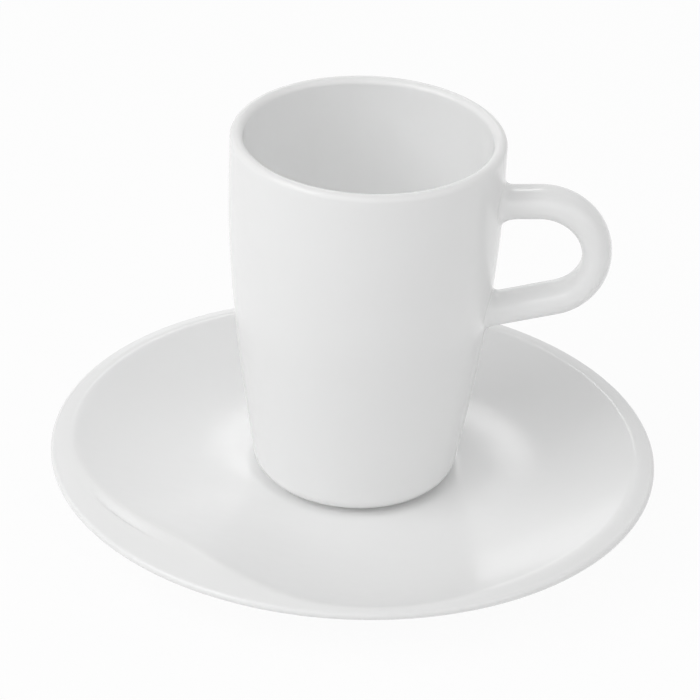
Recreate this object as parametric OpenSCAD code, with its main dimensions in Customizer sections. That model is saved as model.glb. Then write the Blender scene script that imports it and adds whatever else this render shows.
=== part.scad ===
// Espresso cup with a stuck-on ear handle, standing in the well of its saucer.
// The origin is on the table, under the middle of the saucer's round outline.
// +Z is up and the handle points along +X. All lengths are in millimetres.

/* [Cup] */
// Outer diameter of the cup just below the rim
cup_d = 54.4; // [50:0.2:60]
// Height of the cup from its foot to the top of the rim
cup_h = 76; // [70:0.5:84]
// How far below the rim the straight upper wall starts to draw in
shoulder_drop = 14; // [10:0.5:20]
// How far the wall draws in from the shoulder down to the foot
taper = 7; // [5:0.1:9]
// Thickness of the wall at the rim, which has a full round edge
rim_wall = 2.6; // [2.2:0.1:3.2]
// Thickness of the wall at the foot
base_wall = 3.4; // [3:0.1:4]
// Radius of the rounding between the wall and the underside
corner_r = 4.2; // [3.6:0.1:5.6]
// Radius of the rounding between the inner wall and the inner floor
inner_corner_r = 7; // [5:0.1:8]
// Height of the inner floor above the foot
floor_h = 4.4; // [4:0.1:6]

/* [Cup foot] */
// Outer diameter of the ground foot ring
foot_d = 35; // [30:0.5:36]
// Width of the foot ring
foot_w = 2.6; // [2:0.1:3.2]
// Height of the foot ring below the round body
foot_h = 0.4; // [0.3:0.1:0.8]
// Depth of the recess inside the foot ring
recess_h = 0.9; // [0.6:0.1:1.4]
// Bevel on both edges of the foot ring
foot_bevel = 0.3; // [0.2:0.05:0.4]

/* [Handle] */
// Distance of the middle of the ear from the cup's axis
ear_x = 35.5; // [34.6:0.1:38]
// How far the middle of the ear lies below the rim
ear_drop = 22.1; // [21:0.1:24]
// Radius of the ear along the middle of its strap
ear_r = 10.75; // [9.8:0.05:11.5]
// Thickness of the strap, across the loop
strap_t = 5.9; // [4.6:0.1:6.4]
// Width of the strap, front to back
strap_w = 8.6; // [7:0.1:9.6]
// Rise of the upper arm from the wall, in degrees
upper_slope = 6; // [4:0.5:14]
// Fall of the lower arm towards the wall, in degrees
lower_slope = 18; // [14:0.5:22]
// How far the slip bead reaches out along the handle
bead_reach = 2; // [1.6:0.1:3.2]
// How far the slip bead spreads over the wall
bead_spread = 1.3; // [1:0.1:2.4]
// How much further the upper bead reaches out inside the ear
inner_reach = 2; // [0:0.1:2.5]
// How much further the upper bead spreads over the wall inside the ear
inner_spread = 1; // [0:0.1:1.4]
// Thickness of the slip between the handle's end and the wall
slip_t = 0.3; // [0.2:0.05:0.5]

/* [Saucer] */
// Diameter of the saucer's round outline
saucer_d = 123.6; // [118:0.2:130]
// Height of the well's floor above the table
well_h = 6; // [5.4:0.1:7]
// Diameter of the well's flat floor, on which the cup's foot stands
well_d = 37.2; // [36.4:0.2:40]
// Distance of the well's middle behind the middle of the outline
well_back = 3.6; // [0:0.1:5]
// Width of the round step up from the well's floor to the dish
well_step_w = 3.2; // [2.4:0.1:4.6]
// Height of that step
well_step = 0.5; // [0.3:0.1:1.2]
// Height of the top of the rounded edge above the well's floor, at the sides
edge_rise = 7; // [6:0.1:7.2]
// Height of the ridge inside the rim above the well's floor, at the sides
ridge_rise = 7.5; // [7.3:0.1:9.5]
// How much higher the whole rim stands at the front than at the back
front_lift = 1.3; // [0:0.1:2]
// Thickness of the saucer at the well
saucer_t = 3.3; // [3:0.1:4]
// Thickness of the saucer at its edge, which is a half round
edge_t = 1.8; // [1.6:0.1:2.6]

/* [Saucer rim] */
// Width of the rim between the ridge and the rounded edge, where it is plain
rim_w = 3; // [1.4:0.1:3.4]
// Extra width of the rim where it swells at the front left
swell_w = 5; // [0:0.1:5.5]
// Extra height of the ridge where the rim swells
swell_lift = 0.8; // [0:0.1:1]
// Share of its width that the rim loses where it is pinched at the front
pinch_share = 0.9; // [0:0.05:0.9]
// Height that the ridge loses at the pinch
pinch_drop = 0.3; // [0:0.05:0.35]

/* [Saucer foot] */
// Outer diameter of the saucer's ground foot ring
saucer_foot_d = 62; // [56:0.5:64]
// Width of the saucer's foot ring
saucer_foot_w = 3; // [2.4:0.1:4]
// Bevel on both edges of the saucer's foot ring
saucer_foot_bevel = 0.5; // [0.3:0.05:0.7]

/* [Hidden] */
porcelain = [0.94, 0.94, 0.93];
slip_white = [0.90, 0.90, 0.88];
$fn = 96;

rim_r = cup_d / 2;
lip_r = rim_wall / 2;
foot_r = foot_d / 2;
shoulder_h = cup_h - shoulder_drop;
ear_z = cup_h - ear_drop;
// The wall draws in along a power curve, so it leaves the shoulder smoothly
taper_power = 1.6;
// Gap that keeps the slip's flat facets out of the round wall
slip_seat = 0.03;
// Gap that keeps the flat facets of the handle's ends out of the slip
end_seat = 0.01;
// Squareness of the strap's section, where 2 is an ellipse
strap_power = 2.4;

side_steps = 24;
corner_steps = 10;
strap_sides = 24;
arm_steps = 5;
ear_steps = 32;
bead_steps = 5;
end_shares = [0.35, 0.7];

// Bearings on the saucer, in degrees from +X
swell_at = -125;
swell_spread = 31;
pinch_at = -80;
pinch_spread = 22;
saucer_sides = 96;
saucer_r = saucer_d / 2;
rim_outer_r = saucer_r - edge_t / 2;
saucer_well_r = well_d / 2;
saucer_foot_r = saucer_foot_d / 2;
step_steps = 5;
dish_steps = 9;
rim_steps = 4;
edge_shares = [0, 0.25, 0.5, 0.75, 1];
// Where the rim is plain, the dish steepens towards the ridge and the rim falls
// away from it roundly. Where the rim swells, the dish rises almost straight and
// the rim falls quickly at first.
plain_wall_power = 2.3;
swell_wall_power = 1.2;
plain_rim_power = 1.9;
swell_rim_power = 0.4;
// Rings of the dish that the underside follows, from near the edge inwards to
// the last one that is wider than the foot ring
under_last = 3;
under_rings = [for (i = [dish_steps - 1 : -1 : under_last]) i / dish_steps];

// Cup body

function cup_r(z) = z >= shoulder_h ? rim_r
    : rim_r - taper * pow((shoulder_h - z) / shoulder_h, taper_power);

function cup_draft(z) = z >= shoulder_h ? 0
    : atan(taper * taper_power / shoulder_h
        * pow((shoulder_h - z) / shoulder_h, taper_power - 1));

function wall_at(z) = base_wall + (rim_wall - base_wall) * z / (cup_h - lip_r);

// A rounding in the corner between the wall and a level face at height level
function corner_arc(level, r, inset) =
    let (a = cup_draft(level + r),
         end_z = level + r * (1 - sin(a)),
         mid_r = cup_r(end_z) - inset - r * cos(a))
    [for (i = [0 : corner_steps])
        let (b = -90 + (90 - a) * i / corner_steps)
        [mid_r + r * cos(b), level + r + r * sin(b)]];

function arc_top(level, r) = level + r * (1 - sin(cup_draft(level + r)));

function wall_line(from_z, to_z, inside) =
    [for (i = [1 : side_steps])
        let (z = from_z + (to_z - from_z) * i / side_steps)
        [cup_r(z) - (inside ? wall_at(z) : 0), z]];

function reversed(points) = [for (i = [len(points) - 1 : -1 : 0]) points[i]];

module cup_body() {
    lip_z = cup_h - lip_r;
    // The underside's rounding starts at the foot ring's outer side
    outer = concat([for (p = corner_arc(foot_h, corner_r, 0)) if (p[0] > foot_r) p],
        wall_line(arc_top(foot_h, corner_r), lip_z, false));
    lip = [for (i = [1 : corner_steps * 2 - 1])
        let (a = 180 * i / (corner_steps * 2))
        [rim_r - lip_r + lip_r * cos(a), lip_z + lip_r * sin(a)]];
    inner_top = arc_top(floor_h, inner_corner_r);
    inner = concat(corner_arc(floor_h, inner_corner_r, wall_at(inner_top)),
        wall_line(inner_top, lip_z, true));
    foot = [[0, recess_h],
        [foot_r - foot_w - foot_bevel, recess_h],
        [foot_r - foot_w, foot_bevel],
        [foot_r - foot_w + foot_bevel, 0],
        [foot_r - foot_bevel, 0],
        [foot_r, foot_bevel]];
    color(porcelain)
    translate([0, well_back, well_h])
    rotate_extrude()
    polygon(concat(foot, outer, lip, reversed(inner), [[0, floor_h]]));
}

// Handle and its slip joints

// Closed skin round a stack of rings with equal counts, between two end points
module skin(first, rings, last) {
    sides = len(rings[0]);
    top = len(rings) - 1;
    points = concat([first], [for (r = rings) each r], [last]);
    end = len(points) - 1;
    faces = concat(
        [for (k = [0 : sides - 1]) [0, 1 + k, 1 + (k + 1) % sides]],
        [for (j = [0 : top - 1], k = [0 : sides - 1], half = [0, 1])
            let (a = 1 + j * sides + k,
                 b = 1 + j * sides + (k + 1) % sides)
            half == 0 ? [a, a + sides, b] : [b, a + sides, b + sides]],
        [for (k = [0 : sides - 1])
            [end, 1 + top * sides + (k + 1) % sides, 1 + top * sides + k]]);
    polyhedron(points, faces);
}

function signed_pow(v, p) = sign(v) * pow(abs(v), p);

// Share of a point on the strap's section that lies inside the ear
function inside(k) = max(0, -cos(360 * k / strap_sides));

// Point on the strap's section: across the loop, then front to back
function strap_point(k, grow) =
    let (a = 360 * k / strap_sides)
    [(strap_t / 2 + grow) * signed_pow(cos(a), 2 / strap_power),
     (strap_w / 2 + grow) * signed_pow(sin(a), 2 / strap_power)];

// A section set square across the path at x, z, which runs along heading
function strap_ring(x, z, heading, grow = 0, inner_grow = 0) =
    [for (k = [0 : strap_sides - 1])
        let (p = strap_point(k, grow + inner_grow * inside(k)))
        [x - p[0] * sin(heading), p[1], z + p[0] * cos(heading)]];

// Moves a point along an arm until it is gap outside the wall
function on_wall(p, slope, gap, rounds = 6) =
    let (x = sqrt(pow(cup_r(p[2]) + gap, 2) - p[1] * p[1]),
         q = [x, p[1], p[2] + (x - p[0]) * tan(slope)])
    rounds == 0 ? q : on_wall(q, slope, gap, rounds - 1);

// A disc of rings that lies on the wall, inside the ring that is given
function wall_disc(ring, slope, gap) =
    let (mid = on_wall(middle(ring), slope, gap))
    [for (s = end_shares) [for (p = ring) on_wall(mid + (p - mid) * s, slope, gap)]];

function sum(values, i = 0) = i == len(values) ? 0 : values[i] + sum(values, i + 1);

function middle(ring) = [for (i = [0 : 2]) sum([for (p = ring) p[i]]) / len(ring)];

upper_turn = 90 + upper_slope;
lower_turn = -90 + lower_slope;

// Sides of the ear where its round part ends, as x and z
upper_knee = [ear_x + ear_r * cos(upper_turn), ear_z + ear_r * sin(upper_turn)];
lower_knee = [ear_x + ear_r * cos(lower_turn), ear_z + ear_r * sin(lower_turn)];

upper_section = strap_ring(upper_knee[0], upper_knee[1], upper_slope);
lower_section = strap_ring(lower_knee[0], lower_knee[1], 180 + lower_slope);

function arm_end(section, slope, gap) = [for (p = section) on_wall(p, slope, gap)];

function between(a, b, s) = [for (k = [0 : len(a) - 1]) a[k] + (b[k] - a[k]) * s];

module cup_handle() {
    gap = slip_t + end_seat;
    upper_end = arm_end(upper_section, upper_slope, gap);
    lower_end = arm_end(lower_section, lower_slope, gap);
    upper_arm = [for (i = [0 : arm_steps - 1])
        between(upper_end, upper_section, i / arm_steps)];
    ear = [for (i = [0 : ear_steps])
        let (a = upper_turn + (lower_turn - upper_turn) * i / ear_steps)
        strap_ring(ear_x + ear_r * cos(a), ear_z + ear_r * sin(a), a - 90)];
    lower_arm = [for (i = [1 : arm_steps])
        between(lower_section, lower_end, i / arm_steps)];
    color(porcelain)
    translate([0, well_back, well_h])
    skin(on_wall(middle(upper_end), upper_slope, gap),
        concat(wall_disc(upper_end, upper_slope, gap),
            upper_arm, ear, lower_arm,
            reversed(wall_disc(lower_end, lower_slope, gap))),
        on_wall(middle(lower_end), lower_slope, gap));
}

// Bead of slip: a disc on the wall, a hollow round flank up to the strap,
// and a socket that the strap's end fills
module slip_joint(section, wide_section, slope, further) {
    away = [cos(slope), 0, sin(slope)];
    skirt = arm_end(wide_section, slope, slip_seat);
    root = arm_end(section, slope, slip_seat);
    crest = [for (k = [0 : len(root) - 1]) root[k] + away * (bead_reach + further * inside(k))];
    socket = arm_end(section, slope, slip_t);
    flank = [for (i = [0 : bead_steps])
        let (s = i / bead_steps)
        [for (k = [0 : len(root) - 1])
            skirt[k] * (1 - s) * (1 - s) + root[k] * 2 * s * (1 - s) + crest[k] * s * s]];
    color(slip_white)
    translate([0, well_back, well_h])
    skin(on_wall(middle(skirt), slope, slip_seat),
        concat(wall_disc(skirt, slope, slip_seat), flank, [socket],
            reversed(wall_disc(socket, slope, slip_t))),
        on_wall(middle(socket), slope, slip_t));
}

module upper_slip_joint() {
    slip_joint(upper_section,
        strap_ring(upper_knee[0], upper_knee[1], upper_slope, bead_spread, inner_spread),
        upper_slope, inner_reach);
}

module lower_slip_joint() {
    slip_joint(lower_section,
        strap_ring(lower_knee[0], lower_knee[1], 180 + lower_slope, bead_spread),
        lower_slope, 0);
}

// Saucer

function bell(bearing, at, spread) =
    let (off = (bearing - at + 900) % 360 - 180)
    exp(-pow(off / spread, 2));

function pinch(bearing) = bell(bearing, pinch_at, pinch_spread);

function swell(bearing) = bell(bearing, swell_at, swell_spread);

// A value that changes from plain to swollen along the rim
function by_swell(bearing, plain, swollen) = plain + (swollen - plain) * swell(bearing);

function rim_width(bearing) =
    (rim_w + swell_w * swell(bearing)) * (1 - pinch_share * pinch(bearing));

function lift(bearing) = -front_lift / 2 * sin(bearing);

function ridge_z(bearing) =
    well_h + ridge_rise + lift(bearing) + swell_lift * swell(bearing) - pinch_drop * pinch(bearing);

function eased(s) = s * s * (3 - 2 * s);

// Point on the saucer's top at one bearing: zone 0 is the step round the well,
// zone 1 the dish up to the ridge, and zone 2 the rim from there to the edge
function saucer_top(bearing, zone, s) =
    let (dir = [cos(bearing), sin(bearing)],
         step_r = saucer_well_r + well_step_w * (zone == 0 ? s : 1),
         inner = [0, well_back] + dir * step_r,
         ridge = dir * (rim_outer_r - rim_width(bearing)),
         dish_z = well_h + well_step,
         crest_z = ridge_z(bearing),
         fall = crest_z - well_h - edge_rise - lift(bearing),
         wall_power = by_swell(bearing, plain_wall_power, swell_wall_power),
         rim_power = by_swell(bearing, plain_rim_power, swell_rim_power))
    zone == 0 ? [inner[0], inner[1], well_h + well_step * eased(s)]
    : zone == 1
        ? let (p = inner + (ridge - inner) * s)
            [p[0], p[1], dish_z + (crest_z - dish_z) * pow(s, wall_power)]
        : let (p = ridge + (dir * rim_outer_r - ridge) * s)
            [p[0], p[1], crest_z - fall * pow(s, rim_power)];

function saucer_ring(zone, s, drop) =
    [for (k = [0 : saucer_sides - 1])
        saucer_top(360 * k / saucer_sides, zone, s) - [0, 0, drop]];

// The edge is a half round between the top and the underside
function edge_ring(share) =
    let (a = 180 * share,
         r = rim_outer_r + edge_t / 2 * sin(a),
         z = well_h + edge_rise - edge_t / 2 * (1 - cos(a)))
    [for (k = [0 : saucer_sides - 1])
        let (b = 360 * k / saucer_sides)
        [r * cos(b), r * sin(b), z + lift(b)]];

function well_circle(r, z) =
    [for (k = [0 : saucer_sides - 1])
        let (b = 360 * k / saucer_sides)
        [r * cos(b), well_back + r * sin(b), z]];

module saucer() {
    under_z = well_h - saucer_t;
    ring_z = under_z + well_step;
    top = concat(
        [for (i = [0 : step_steps]) saucer_ring(0, i / step_steps, 0)],
        [for (i = [1 : dish_steps]) saucer_ring(1, i / dish_steps, 0)],
        [for (i = [1 : rim_steps - 1]) saucer_ring(2, i / rim_steps, 0)],
        [for (s = edge_shares) edge_ring(s)]);
    under = [for (s = under_rings) saucer_ring(1, s, saucer_t)];
    foot = [
        well_circle(saucer_foot_r, ring_z),
        well_circle(saucer_foot_r, saucer_foot_bevel),
        well_circle(saucer_foot_r - saucer_foot_bevel, 0),
        well_circle(saucer_foot_r - saucer_foot_w + saucer_foot_bevel, 0),
        well_circle(saucer_foot_r - saucer_foot_w, saucer_foot_bevel),
        well_circle(saucer_foot_r - saucer_foot_w, ring_z),
        well_circle(saucer_well_r + well_step_w, ring_z),
        well_circle(saucer_well_r, under_z)];
    color(porcelain)
    skin([0, well_back, well_h], concat(top, under, foot), [0, well_back, under_z]);
}

cup_body();
cup_handle();
upper_slip_joint();
lower_slip_joint();
saucer();
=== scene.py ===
"""An espresso cup with an ear handle, standing in the well of its saucer: white
glazed porcelain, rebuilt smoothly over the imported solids. Shapes are in
millimetres and are scaled to metres where their meshes are made."""
import math

import bmesh
import bpy
import numpy as np
from mathutils import Matrix, Vector


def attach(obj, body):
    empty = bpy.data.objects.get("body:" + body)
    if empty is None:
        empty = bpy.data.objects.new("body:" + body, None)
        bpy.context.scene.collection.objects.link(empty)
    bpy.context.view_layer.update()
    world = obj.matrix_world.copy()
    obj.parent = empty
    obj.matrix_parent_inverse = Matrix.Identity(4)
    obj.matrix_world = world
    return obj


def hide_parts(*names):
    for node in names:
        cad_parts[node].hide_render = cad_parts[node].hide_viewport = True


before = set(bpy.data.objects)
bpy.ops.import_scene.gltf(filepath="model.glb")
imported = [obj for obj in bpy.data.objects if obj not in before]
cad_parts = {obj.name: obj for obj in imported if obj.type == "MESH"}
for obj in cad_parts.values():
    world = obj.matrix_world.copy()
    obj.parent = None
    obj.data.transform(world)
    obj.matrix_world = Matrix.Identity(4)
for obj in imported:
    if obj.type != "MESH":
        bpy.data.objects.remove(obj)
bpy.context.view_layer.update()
scene = bpy.context.scene
scene.view_settings.view_transform = "Standard"

# Camera
# A long lens a little above the table, almost straight in front of the cup,
# with the handle on the right. The camera leans by a few degrees.
camera_eye = Vector((0.05733, -0.54712, 0.3563))
camera_aim = Vector((-0.00187, 0.0036, 0.03278))
camera_lean = math.radians(2.48)
camera = bpy.data.objects.new("camera", bpy.data.cameras.new("camera"))
camera.data.lens = 162.4
camera.data.sensor_width = 36
turned = (camera_aim - camera_eye).to_track_quat("-Z", "Y").to_matrix()
turned = turned @ Matrix.Rotation(camera_lean, 3, "Z")
camera.matrix_world = Matrix.Translation(camera_eye) @ turned.to_4x4()
scene.collection.objects.link(camera)
scene.camera = camera

# Cup body
# One thin porcelain shell, cast in a plaster mould and glazed all over, with a
# full round rim. Only the foot ring it was fired on is ground bare.
well_back = 3.6
well_h = 6
cup_at = np.array([0, well_back, well_h])
cup_h = 76
rim_r = 27.2
shoulder_h = 62
taper = 7
taper_power = 1.6
rim_wall = 2.6
base_wall = 3.4
corner_r = 4.2
inner_corner_r = 7
floor_h = 4.4
foot_r = 17.5
foot_w = 2.6
foot_h = 0.4
recess_h = 0.9
foot_bevel = 0.3
foot_soft = 0.12
bare_h = 0.25
bare_over = 0.3
thin_rim_h = 1.4
corner_clear = 0.1
centre_r = 0.01
corner_points = 25
wall_points = 70
lip_points = 25
cup_sides = 256
sharp_angle = math.radians(50)
lip_r = rim_wall / 2


def outer_r(z):
    fall = max(0.0, (shoulder_h - z) / shoulder_h)
    return rim_r - taper * fall ** taper_power


def draft(z):
    fall = max(0.0, (shoulder_h - z) / shoulder_h)
    return math.atan(taper * taper_power / shoulder_h * fall ** (taper_power - 1))


def wall_at(z):
    return base_wall + (rim_wall - base_wall) * z / (cup_h - lip_r)


def corner(level, r, inset):
    """The rounding between a level face and the wall, from the face upwards."""
    lean = draft(level + r)
    top = level + r * (1 - math.sin(lean))
    middle = outer_r(top) - inset - r * math.cos(lean)
    turns = np.linspace(-math.pi / 2, -lean, corner_points)
    return [(middle + r * math.cos(a), level + r + r * math.sin(a)) for a in turns]


def softened(line, reach, steps=5):
    """Rounds the corners inside a profile, reach back along both sides of each."""
    line = [np.array(p, float) for p in line]
    soft = [line[0]]
    for before, here, after in zip(line, line[1:], line[2:]):
        back = (before - here) / np.linalg.norm(before - here) * reach
        on = (after - here) / np.linalg.norm(after - here) * reach
        for s in np.linspace(0, 1, steps):
            soft.append(here + back * (1 - s) ** 2 + on * s ** 2)
    return soft + [line[-1]]


def shell(name, first, rings, last, body):
    """A closed smooth mesh through a stack of rings, between two end points."""
    rings = np.array(rings)
    sides = rings.shape[1]
    top = len(rings) - 1
    points = np.vstack([[first], rings.reshape(-1, 3), [last]]) / 1000
    faces = []
    for k in range(sides):
        on = (k + 1) % sides
        faces.append((0, 1 + k, 1 + on))
        faces.append((len(points) - 1, 1 + top * sides + on, 1 + top * sides + k))
        for j in range(top):
            low = 1 + j * sides
            faces.append((low + k, low + sides + k, low + sides + on, low + on))
    mesh = bpy.data.meshes.new(name)
    mesh.from_pydata([tuple(p) for p in points], [], faces)
    form = bmesh.new()
    form.from_mesh(mesh)
    bmesh.ops.recalc_face_normals(form, faces=form.faces)
    form.to_mesh(mesh)
    form.free()
    mesh.shade_smooth()
    mesh.set_sharp_from_angle(angle=sharp_angle)
    piece = bpy.data.objects.new(name, mesh)
    scene.collection.objects.link(piece)
    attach(piece, body)
    return piece


class Signal:
    """An output socket of a shader tree. Arithmetic on it adds Math nodes."""

    def __init__(self, shader, socket):
        self.shader = shader
        self.socket = socket

    def math(self, operation, first, second=0.0):
        sockets = {0: first, 1: second}
        return self.shader.add("ShaderNodeMath", {"operation": operation}, sockets)["Value"]

    def __add__(self, other):
        return self.math("ADD", self, other)

    def __sub__(self, other):
        return self.math("SUBTRACT", self, other)

    def __rsub__(self, other):
        return self.math("SUBTRACT", other, self)

    def __mul__(self, other):
        return self.math("MULTIPLY", self, other)

    def power(self, other):
        return self.math("POWER", self, other)

    def most(self, other):
        return self.math("MAXIMUM", self, other)

    def step(self, low, high):
        """0 at low and 1 at high, eased between them."""
        settings = {"interpolation_type": "SMOOTHSTEP"}
        sockets = {"Value": self, "From Min": low, "From Max": high}
        return self.shader.add("ShaderNodeMapRange", settings, sockets)["Result"]

    __radd__ = __add__


class Shader:
    """The node tree of one material, lamp room or floor."""

    def __init__(self, owner):
        owner.use_nodes = True
        self.tree = owner.node_tree
        self.tree.nodes.clear()

    def add(self, kind, settings, sockets):
        """Makes a node and gives its outputs by name."""
        node = self.tree.nodes.new(kind)
        for key, value in settings.items():
            setattr(node, key, value)
        for key, value in sockets.items():
            if isinstance(value, Signal):
                self.tree.links.new(value.socket, node.inputs[key])
            else:
                node.inputs[key].default_value = value
        live = [socket for socket in node.outputs if socket.enabled]
        return {socket.name: Signal(self, socket) for socket in live}

    def mix(self, share, one, other):
        """A colour between two, by share."""
        sockets = {0: share, 6: one, 7: other}
        settings = {"data_type": "RGBA"}
        return self.add("ShaderNodeMix", settings, sockets)["Result"]

    def noise(self, place, scale, detail, roughness=0.5):
        sockets = {"Vector": place, "Scale": scale, "Detail": detail, "Roughness": roughness}
        return self.add("ShaderNodeTexNoise", {}, sockets)["Fac"]

    def looked_at(self):
        """1 for the camera and for what mirrors or lets it through, 0 for light."""
        ray = self.add("ShaderNodeLightPath", {}, {})
        return ray["Is Camera Ray"].most(ray["Is Glossy Ray"]).most(ray["Is Transmission Ray"])


def porcelain(name, bare_below=0, bare_reach=0, thin_above=1000):
    """White glaze over porcelain, with a bare ground foot and a thin coat on the rim.

    Heights are millimetres above the table at rest, and bare_reach is how far the
    bare foot reaches from the cup's axis. The lengths in here are metres."""
    bare_from = bare_below / 1000
    reach_from = bare_reach / 1000
    thin_from = thin_above / 1000
    bare_fade, reach_fade, thin_fade = 0.00015, 0.0005, 0.0015
    ragged_scale, drift_scale, ripple_scale, grain_scale = 1500, 38, 260, 5200
    ragged_h, ripple_h, grain_h = 0.0002, 0.000035, 0.00004
    drift_warmth, thin_warmth = 0.5, 0.4
    glaze_rough, drift_rough, thin_rough, bare_rough = 0.15, 0.05, 0.05, 0.8
    glaze_ior = 1.52
    cool = (0.925, 0.928, 0.928, 1)
    warm = (0.912, 0.912, 0.906, 1)
    dark_biscuit = (0.60, 0.585, 0.55, 1)
    pale_biscuit = (0.74, 0.73, 0.70, 1)
    material = bpy.data.materials.new(name)
    shader = Shader(material)
    place = shader.add("ShaderNodeTexCoord", {}, {})["Object"]
    axes = shader.add("ShaderNodeSeparateXYZ", {}, {"Vector": place})
    across = (axes["X"] * axes["X"]
              + (axes["Y"] - well_back / 1000) * (axes["Y"] - well_back / 1000)).power(0.5)
    ragged = shader.noise(place, ragged_scale, 2) * ragged_h
    height = axes["Z"] + ragged
    bare = (1 - height.step(bare_from, bare_from + bare_fade)) * (
        1 - across.step(reach_from, reach_from + reach_fade))
    # Drifts of the glaze a thumb's width across, ripples of a few millimetres and
    # the grain of the bare foot
    drift = shader.noise(place, drift_scale, 2)
    ripple = shader.noise(place, ripple_scale, 1)
    grain = shader.noise(place, grain_scale, 3, 0.6)
    thin = height.step(thin_from, thin_from + thin_fade)
    coat = shader.mix(drift * drift_warmth + thin * thin_warmth, cool, warm)
    biscuit = shader.mix(grain, dark_biscuit, pale_biscuit)
    colour = shader.mix(bare, coat, biscuit)
    coat_rough = glaze_rough + drift * drift_rough + thin * thin_rough
    roughness = coat_rough * (1 - bare) + bare * bare_rough
    relief = ripple * (1 - bare) * ripple_h + grain * bare * grain_h
    bump = shader.add("ShaderNodeBump", {}, {"Height": relief, "Strength": 1, "Distance": 1})
    skin = shader.add("ShaderNodeBsdfPrincipled", {}, {
        "Base Color": colour, "Roughness": roughness, "IOR": glaze_ior, "Normal": bump["Normal"]})
    shader.add("ShaderNodeOutputMaterial", {}, {"Surface": skin["BSDF"]})
    return material


outside = [(r, z) for r, z in corner(foot_h, corner_r, 0) if r > foot_r + corner_clear]
wall_heights = np.linspace(outside[-1][1], cup_h - lip_r, wall_points)
outside += [(outer_r(z), z) for z in wall_heights[1:]]
rim = [(rim_r - lip_r + lip_r * math.cos(a), cup_h - lip_r + lip_r * math.sin(a))
       for a in np.linspace(0, math.pi, lip_points)[1:-1]]
inside_top = floor_h + inner_corner_r * (1 - math.sin(draft(floor_h + inner_corner_r)))
inside = corner(floor_h, inner_corner_r, wall_at(inside_top))
wall_heights = np.linspace(inside_top, cup_h - lip_r, wall_points)
inside += [(outer_r(z) - wall_at(z), z) for z in wall_heights[1:]]
foot = softened([
    (centre_r, recess_h),
    (foot_r - foot_w - foot_bevel, recess_h),
    (foot_r - foot_w, foot_bevel),
    (foot_r - foot_w + foot_bevel, 0),
    (foot_r - foot_bevel, 0),
    (foot_r, foot_bevel),
    outside[0]], foot_soft)
profile = foot + outside[1:] + rim + inside[::-1]
bearings = np.linspace(0, 2 * math.pi, cup_sides, endpoint=False)
cup_rings = [[cup_at + (r * math.cos(b), r * math.sin(b), z) for b in bearings]
             for r, z in profile]
cup_body = shell("cup_shell", cup_at + (0, 0, recess_h), cup_rings,
                 cup_at + (0, 0, floor_h), "cup")
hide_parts("cup_body")
cup_glaze = porcelain("cup_glaze", well_h + bare_h, foot_r + bare_over,
                      well_h + cup_h - thin_rim_h)
cup_body.data.materials.append(cup_glaze)

# Handle
# A strap ear cast in its own mould, with rounded sides, trimmed to the curve of
# the wall at both ends before it was stuck on.
ear_x = 35.5
ear_z = 53.9
ear_r = 10.75
strap_t = 5.9
strap_w = 8.6
strap_power = 2.4
upper_slope = math.radians(6)
lower_slope = math.radians(18)
slip_t = 0.3
strap_sides = 72
ear_steps = 120
upper_arm_steps = 12
lower_arm_steps = 16
disc_shares = (0.3, 0.65)
wall_rounds = 8


def strap_ring(x, z, heading, grow=0, inner_grow=0):
    """The strap's section, square across a path that runs along heading."""
    ring = []
    for a in np.linspace(0, 2 * math.pi, strap_sides, endpoint=False):
        c, s = math.cos(a), math.sin(a)
        more = grow + inner_grow * max(0, -c)
        out = (strap_t / 2 + more) * math.copysign(abs(c) ** (2 / strap_power), c)
        side = (strap_w / 2 + more) * math.copysign(abs(s) ** (2 / strap_power), s)
        ring.append((x - out * math.sin(heading), side, z + out * math.cos(heading)))
    return np.array(ring)


def on_wall(points, slope, gap):
    """Slides points along an arm until they are gap outside the cup's wall."""
    moved = []
    for x, y, z in points:
        for _ in range(wall_rounds):
            wall_x = math.sqrt((outer_r(z) + gap) ** 2 - y * y)
            z += (wall_x - x) * math.tan(slope)
            x = wall_x
        moved.append((x, y, z))
    return np.array(moved)


def disc(ring, slope, gap):
    """Smaller and smaller rings on the wall, inside the one that is given."""
    middle = ring.mean(axis=0)
    return [on_wall(middle + (ring - middle) * s, slope, gap) for s in disc_shares]


upper_turn = math.pi / 2 + upper_slope
lower_turn = lower_slope - math.pi / 2
upper_knee = (ear_x + ear_r * math.cos(upper_turn), ear_z + ear_r * math.sin(upper_turn))
lower_knee = (ear_x + ear_r * math.cos(lower_turn), ear_z + ear_r * math.sin(lower_turn))
upper_section = strap_ring(*upper_knee, upper_slope)
lower_section = strap_ring(*lower_knee, math.pi + lower_slope)
upper_end = on_wall(upper_section, upper_slope, slip_t)
lower_end = on_wall(lower_section, lower_slope, slip_t)
upper_arm = [upper_end + (upper_section - upper_end) * s
             for s in np.linspace(0, 1, upper_arm_steps)[:-1]]
lower_arm = [lower_section + (lower_end - lower_section) * s
             for s in np.linspace(0, 1, lower_arm_steps)[1:]]
ear = [strap_ring(ear_x + ear_r * math.cos(a), ear_z + ear_r * math.sin(a), a - math.pi / 2)
       for a in np.linspace(upper_turn, lower_turn, ear_steps)]
handle_rings = (disc(upper_end, upper_slope, slip_t) + upper_arm + ear + lower_arm
                + disc(lower_end, lower_slope, slip_t)[::-1])
handle = shell("ear_handle", upper_end.mean(axis=0) + cup_at, np.array(handle_rings) + cup_at,
               lower_end.mean(axis=0) + cup_at, "cup")
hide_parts("cup_handle")
handle.data.materials.append(porcelain("handle_glaze"))

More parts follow.
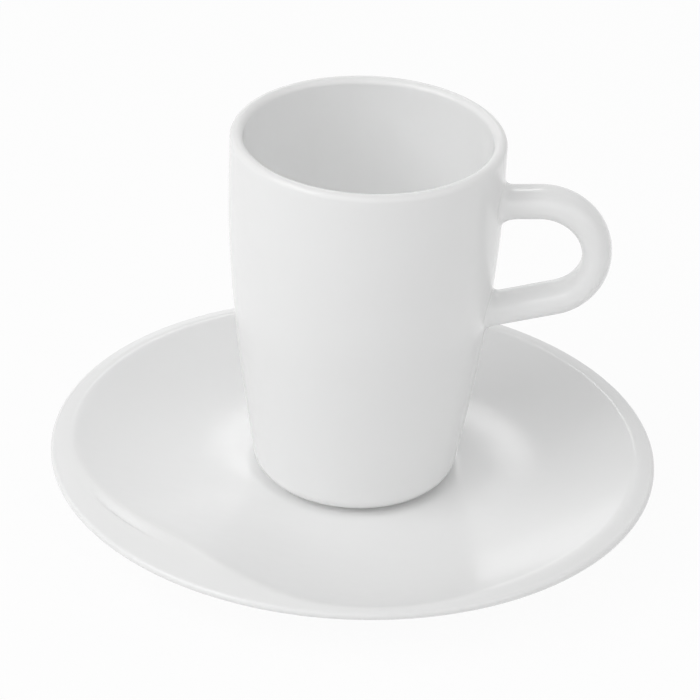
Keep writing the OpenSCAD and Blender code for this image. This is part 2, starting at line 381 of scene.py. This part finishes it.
# Slip joints
# Beads of porcelain slip, sponged into a hollow round where the two ends of the
# handle meet the wall, and fired and glazed over with the rest. The upper one is
# fuller inside the ear.
bead_reach = 2.0
bead_spread = 1.3
inner_reach = 2
inner_spread = 1
bead_steps = 24
bead_glaze = porcelain("slip_glaze")
inner_side = np.maximum(0, -np.cos(np.linspace(0, 2 * math.pi, strap_sides, endpoint=False)))
for name, node, knee, heading, slope, further, wider in (
        ("upper_bead", "upper_slip_joint", upper_knee, upper_slope, upper_slope,
         inner_reach, inner_spread),
        ("lower_bead", "lower_slip_joint", lower_knee, math.pi + lower_slope, lower_slope, 0, 0)):
    root = on_wall(strap_ring(*knee, heading), slope, 0)
    skirt = on_wall(strap_ring(*knee, heading, bead_spread, wider), slope, 0)
    along = np.array([math.cos(slope), 0, math.sin(slope)])
    crest = root + np.outer(bead_reach + further * inner_side, along)
    flank = [skirt * (1 - s) ** 2 + root * 2 * s * (1 - s) + crest * s ** 2
             for s in np.linspace(0, 1, bead_steps)]
    seat = on_wall(strap_ring(*knee, heading), slope, slip_t)
    bead_rings = (disc(skirt, slope, 0) + flank + [seat]
                  + disc(seat, slope, slip_t)[::-1])
    bead = shell(name, on_wall([skirt.mean(axis=0)], slope, 0)[0] + cup_at,
                 np.array(bead_rings) + cup_at,
                 on_wall([seat.mean(axis=0)], slope, slip_t)[0] + cup_at, "cup")
    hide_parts(node)
    bead.data.materials.append(bead_glaze)

# Saucer
# One pressed porcelain dish: a flat well for the cup, a wall that steepens to a
# ridge, and outside it a rim that swells at the front left. It was fired
# standing on the ground ring below, which is bare.
saucer_r = 61.8
edge_t = 1.8
edge_rise = 7
well_r = 18.6
well_step_w = 3.2
well_step = 0.5
ridge_rise = 7.5
front_lift = 1.3
wall_power = 2.3
rim_w = 3
swell_w = 5
swell_lift = 0.8
pinch_share = 0.9
pinch_drop = 0.3
swell_at, swell_spread = -125, 31
pinch_at, pinch_spread = -80, 22
plain_rim_power = 1.9
swell_rim_power = 0.4
swell_wall_power = 1.2
saucer_t = 3.3
saucer_foot_r = 31
saucer_foot_w = 3
saucer_foot_bevel = 0.5
saucer_bare_h = 0.4
saucer_bare_over = 0.6
thin_ridge_h = 0.3
saucer_sides = 360
step_points, dish_points, rim_points, edge_points = 12, 60, 50, 17
top_steps = 135
under_steps = 50
ridge_soft = 1.8
swell_soft = 0.5
crease_soft = 0.5
crease_at, crease_spread = -138, 13
crease_depth = 0.8
crease_off = 1.5
crease_w = 0.62
under_soft = 3
under_first, under_last = -8, 20
ring_soft = 0.3
rim_outer_r = saucer_r - edge_t / 2


def bell(bearing, at, spread):
    off = (bearing - at + 900) % 360 - 180
    return math.exp(-(off / spread) ** 2)


def even(line, count):
    """The same line through count evenly spaced points."""
    line = np.array(line)
    along = np.concatenate([[0], np.cumsum(np.linalg.norm(np.diff(line, axis=0), axis=1))])
    stops = np.linspace(0, along[-1], count)
    return np.stack([np.interp(stops, along, line[:, i]) for i in range(3)], axis=1), stops[1]


def rounded(line, reach, count):
    """Rounds a line's corners by a moving mean over reach, and keeps its ends."""
    line, spacing = even(line, count)
    half = max(1, round(reach / spacing))
    weights = np.hanning(2 * half + 3)[1:-1]
    weights /= weights.sum()
    ends = [2 * line[0] - line[half:0:-1], line, 2 * line[-1] - line[-2:-half - 2:-1]]
    longer = np.vstack(ends)
    return np.stack([np.convolve(longer[:, i], weights, "valid") for i in range(3)], axis=1)


def saucer_line(bearing):
    """The saucer's cut at one bearing, from the well over the rim to the foot."""
    a = math.radians(bearing)
    out = np.array([math.cos(a), math.sin(a), 0])
    well = np.array([0, well_back, 0])
    swell = bell(bearing, swell_at, swell_spread)
    pinch = bell(bearing, pinch_at, pinch_spread)
    rim_width = (rim_w + swell_w * swell) * (1 - pinch_share * pinch)
    lift = -front_lift / 2 * out[1]
    ridge_z = well_h + ridge_rise + lift + swell_lift * swell - pinch_drop * pinch
    rim_power = plain_rim_power + (swell_rim_power - plain_rim_power) * swell
    dish_power = wall_power + (swell_wall_power - wall_power) * swell
    dish_z = well_h + well_step
    edge_z = well_h + edge_rise + lift
    start = well + out * (well_r + well_step_w)
    ridge = out * (rim_outer_r - rim_width)
    up = np.array([0, 0, 1])
    step = [well + out * (well_r + well_step_w * s)
            + up * (well_h + well_step * s * s * (3 - 2 * s))
            for s in np.linspace(0, 1, step_points)]
    dish = [start + (ridge - start) * s + up * (dish_z + (ridge_z - dish_z) * s ** dish_power)
            for s in np.linspace(0, 1, dish_points)]
    crease = bell(bearing, crease_at, crease_spread)
    rim = []
    for s in np.linspace(0, 1, rim_points)[1:]:
        from_crease = (rim_width * s - crease_off) / crease_w
        groove = crease_depth * crease * math.exp(-from_crease ** 2)
        z = ridge_z - (ridge_z - edge_z) * s ** rim_power - groove
        rim.append(ridge + out * rim_width * s + up * z)
    sharp = step + dish[1:] + rim
    top = rounded(sharp, ridge_soft * (1 + swell_soft * swell), top_steps)
    crisp = rounded(sharp, crease_soft, top_steps)
    top += (crisp - top) * crease
    edge = [out * (rim_outer_r + edge_t / 2 * math.sin(t))
            + up * (edge_z - edge_t / 2 * (1 - math.cos(t)))
            for t in np.linspace(0, math.pi, edge_points)[1:]]
    below = [p - up * saucer_t for p in dish[under_first:under_last - 1:-1]]
    under_z = well_h - saucer_t
    ring_z = under_z + well_step
    ring = [(saucer_foot_r, ring_z), (saucer_foot_r, saucer_foot_bevel),
            (saucer_foot_r - saucer_foot_bevel, 0),
            (saucer_foot_r - saucer_foot_w + saucer_foot_bevel, 0),
            (saucer_foot_r - saucer_foot_w, saucer_foot_bevel),
            (saucer_foot_r - saucer_foot_w, ring_z),
            (well_r + well_step_w, ring_z), (well_r, under_z), (well_r / 2, under_z)]
    ring = [well + out * r + up * z for r, z in ring]
    under = rounded([edge[-1]] + below, under_soft, under_steps)
    ring = softened([under[-2], under[-1]] + ring, ring_soft)
    return np.vstack([top, edge[:-1], under[:-2], ring])


lines = np.array([saucer_line(360 * k / saucer_sides) for k in range(saucer_sides)])
saucer = shell("saucer_dish", (0, well_back, well_h), lines.transpose(1, 0, 2),
               (0, well_back, well_h - saucer_t), "saucer")
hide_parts("saucer")
saucer_glaze = porcelain("saucer_glaze", saucer_bare_h, saucer_foot_r + saucer_bare_over,
                         well_h + ridge_rise - thin_ridge_h)
saucer.data.materials.append(saucer_glaze)

# Table and light
# A plain white table in a white room, with one broad soft lamp on the left and
# a little in front. Shadowless fills open up the shadows, two boxes behind are
# mirrored in the dish, and a narrow lamp straight above shines into the cup.
table_reach = 3
table_paint = (0.86, 0.86, 0.86, 1)
table_glow = 0.94
room_light = 0.49
dim_above = 0.45
dim_by = 0.7
white = (1, 1, 1, 1)
lamp_aim = Vector((0, 0, 0.04))
corners = [(-table_reach, -table_reach, 0), (table_reach, -table_reach, 0),
           (table_reach, table_reach, 0), (-table_reach, table_reach, 0)]
table_mesh = bpy.data.meshes.new("table_top")
table_mesh.from_pydata(corners, [], [(0, 1, 2, 3)])
table_top = bpy.data.objects.new("table_top", table_mesh)
scene.collection.objects.link(table_top)
table_white = bpy.data.materials.new("table_white")
shader = Shader(table_white)
seen = shader.looked_at()
paint = shader.add("ShaderNodeBsdfDiffuse", {}, {"Color": table_paint})
glow = shader.add("ShaderNodeEmission", {}, {"Color": white, "Strength": 1})
surface = shader.add("ShaderNodeMixShader", {}, {
    0: seen * table_glow, 1: paint["BSDF"], 2: glow["Emission"]})
shader.add("ShaderNodeOutputMaterial", {}, {"Surface": surface["Shader"]})
table_mesh.materials.append(table_white)

room = bpy.data.worlds.new("white_room")
scene.world = room
shader = Shader(room)
way = shader.add("ShaderNodeTexCoord", {}, {})["Generated"]
height = shader.add("ShaderNodeSeparateXYZ", {}, {"Vector": way})["Z"]
seen = shader.looked_at()
wall = 1 - height.step(dim_above, 1) * dim_by
sky = shader.add("ShaderNodeBackground", {}, {
    "Color": white, "Strength": seen * (wall - room_light) + room_light})
shader.add("ShaderNodeOutputWorld", {}, {"Surface": sky["Background"]})


def area_lamp(name, width, height, watts, place, shadow=True):
    """A flat lamp, aimed at the middle of the cup."""
    data = bpy.data.lights.new(name, "AREA")
    data.shape = "RECTANGLE"
    data.size = width
    data.size_y = height
    data.energy = watts
    data.use_shadow = shadow
    lamp = bpy.data.objects.new(name, data)
    lamp.location = place
    lamp.rotation_euler = (lamp_aim - lamp.location).to_track_quat("-Z", "Y").to_euler()
    scene.collection.objects.link(lamp)


area_lamp("soft_box", 0.9, 0.9, 4.3, (-0.86, -0.54, 0.84))
area_lamp("front_fill", 1.2, 1.2, 2.6, (-0.33, -0.9, 0.88), shadow=False)
area_lamp("right_fill", 1.2, 1.2, 1.8, (0.9, -0.33, 0.88), shadow=False)
area_lamp("left_fill", 1.2, 1.2, 0.9, (-0.96, 0.08, 0.8), shadow=False)
area_lamp("back_box", 0.09, 0.15, 0.16, (-0.15, 1.0, 0.75))
area_lamp("low_box", 0.3, 0.28, 0.12, (-0.255, 1.0, 0.17))

# Its beam is a little narrower than the mouth of the cup
snoot = bpy.data.objects.new("snoot", bpy.data.lights.new("snoot", "SPOT"))
snoot.data.spot_size = math.radians(3.15)
snoot.data.spot_blend = 0.3
snoot.data.shadow_soft_size = 0.004
snoot.data.energy = 13
snoot.location = (0, well_back / 1000, 0.9)
scene.collection.objects.link(snoot)

bpy.context.view_layer.update()
